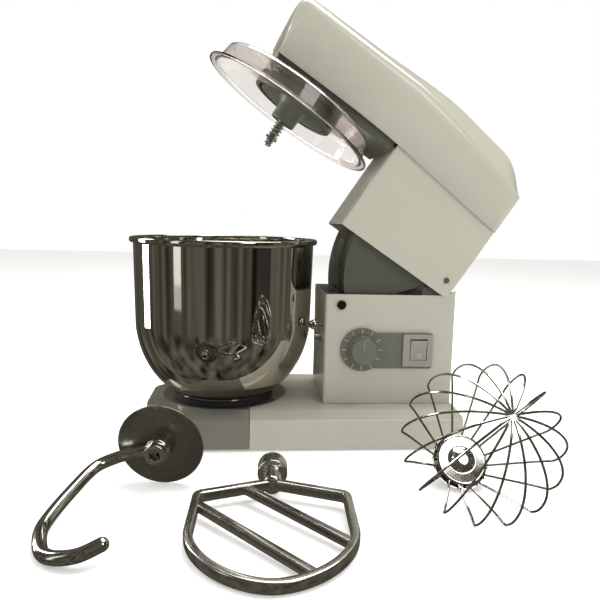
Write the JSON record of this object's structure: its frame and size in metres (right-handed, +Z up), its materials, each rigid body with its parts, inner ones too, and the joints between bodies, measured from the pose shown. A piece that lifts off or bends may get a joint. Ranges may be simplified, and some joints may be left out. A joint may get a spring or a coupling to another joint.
{
  "type": "stand mixer",
  "caption": "Tilt-head stand mixer with a steel bowl, clear splash guard, speed dial and rocker switch, and a loose dough hook, flat beater and whisk.",
  "frame": {"origin": "on the bowl's axis, at the underside of the base plate", "axes": "+X from the bowl to the column, -Y towards the controls and the loose tools, +Z up"},
  "size_m": [0.525, 0.5214, 0.5444],
  "materials": {
    "white_paint": "gloss",
    "grey_plastic": "satin",
    "dark_plastic": "matt",
    "rubber": "matt",
    "polished_steel": "polished",
    "zinc_plate": "satin",
    "black_screw": "satin",
    "aluminium": "polished",
    "brass": "satin",
    "clear_plastic": "clear"
  },
  "bodies": {
    "base": {"base_shell": "white_paint", "nose_cover": "grey_plastic", "base_plate": "zinc_plate", "foot_front_left": "rubber", "foot_front_right": "rubber", "foot_rear_left": "rubber", "foot_rear_right": "rubber", "bowl_seat": "rubber", "column_casing": "white_paint", "column_rear_panel": "white_paint", "cord_gland": "dark_plastic", "column_top_cap": "grey_plastic", "hinge_bracket_left": "zinc_plate", "hinge_bracket_right": "zinc_plate", "hinge_washer_left": "zinc_plate", "hinge_washer_right": "zinc_plate", "hinge_pin": "zinc_plate", "limit_pin": "black_screw", "control_bezel": "grey_plastic", "potentiometer": "zinc_plate", "switch_frame": "dark_plastic", "lock_bush": "brass", "front_screw": "zinc_plate"},
    "head": {"leg_casing": "white_paint", "sector_drum": "grey_plastic", "sector_plate": "zinc_plate", "head_chassis": "zinc_plate", "underpan": "grey_plastic", "head_shell": "white_paint", "motor_body": "zinc_plate", "drive_belt": "rubber", "gear_housing": "grey_plastic", "ring_gear": "zinc_plate", "splash_guard": "clear_plastic", "guard_bolt_left": "zinc_plate", "guard_bolt_right": "zinc_plate"},
    "motor": {"motor_shaft": "zinc_plate", "motor_pulley": "aluminium"},
    "layshaft": {"lay_shaft": "zinc_plate", "lay_pulley": "aluminium"},
    "planetary": {"main_shaft": "zinc_plate", "main_gear": "zinc_plate", "planet_carrier": "grey_plastic"},
    "tool_spindle": {"tool_shaft": "polished_steel", "drive_pin": "polished_steel", "shaft_spring": "zinc_plate", "planet_pinion": "zinc_plate"},
    "lock": {"lock_plunger": "polished_steel", "lock_ball": "polished_steel", "lock_spring": "zinc_plate"},
    "speed_dial": {"speed_knob": "grey_plastic"},
    "rocker": {"switch_rocker": "dark_plastic"},
    "bowl_body": {"bowl": "polished_steel"},
    "hook": {"hook_rod": "polished_steel", "hook_disc": "polished_steel"},
    "beater": {"flat_beater": "aluminium"},
    "whisk": {"whisk_hub": "polished_steel", "whisk_cap": "polished_steel", "whisk_wires": "polished_steel"}
  },
  "joints": [
    {"name": "head_tilt", "type": "hinge", "parent": "base", "child": "head", "pos_m": [0.282, 0, 0.2027], "axis": [0, 1, 0], "range_deg": [-33.6, 0]},
    {"name": "planetary_spin", "type": "hinge", "parent": "head", "child": "planetary", "pos_m": [0.08768, 0, 0.41981], "axis": [0.5534, 0, 0.8329], "continuous": true},
    {"name": "tool_shaft_spin", "type": "hinge", "parent": "planetary", "child": "tool_spindle", "pos_m": [0.07329, -0.03, 0.39815], "axis": [0.5534, 0, 0.8329], "continuous": true},
    {"name": "lay_spin", "type": "hinge", "parent": "head", "child": "layshaft", "pos_m": [0.15037, 0, 0.41658], "axis": [0.5534, 0, 0.8329], "continuous": true},
    {"name": "motor_spin", "type": "hinge", "parent": "head", "child": "motor", "pos_m": [0.30081, 0, 0.33944], "axis": [0.5534, 0, 0.8329], "continuous": true},
    {"name": "lock_pull", "type": "slide", "parent": "base", "child": "lock", "axis": [1, 0, 0], "range_m": [0, 0.004], "deforming": ["lock_spring"]},
    {"name": "speed_knob_turn", "type": "hinge", "parent": "base", "child": "speed_dial", "pos_m": [0.177, -0.074, 0.1125], "axis": [0, 1, 0], "range_deg": [-135, 135]},
    {"name": "switch_rock", "type": "hinge", "parent": "base", "child": "rocker", "pos_m": [0.2499, -0.0633, 0.1132], "axis": [1, 0, 0], "range_deg": [-12, 0]},
    {"name": "bowl_lift", "type": "slide", "parent": "base", "child": "bowl_body", "axis": [0, 0, 1], "range_m": [0, 0.1]},
    {"name": "hook_lift", "type": "slide", "parent": "base", "child": "hook", "axis": [0, 0, 1], "range_m": [0, 0.15]},
    {"name": "beater_lift", "type": "slide", "parent": "base", "child": "beater", "axis": [0, 0, 1], "range_m": [0, 0.15]},
    {"name": "whisk_lift", "type": "slide", "parent": "base", "child": "whisk", "axis": [0, 0, 1], "range_m": [0, 0.15]}
  ],
  "couplings": [
    {"joint": "tool_shaft_spin", "follows": "planetary_spin", "ratio": -3},
    {"joint": "lay_spin", "follows": "planetary_spin", "ratio": -3.5},
    {"joint": "motor_spin", "follows": "planetary_spin", "ratio": -12.25}
  ]
}
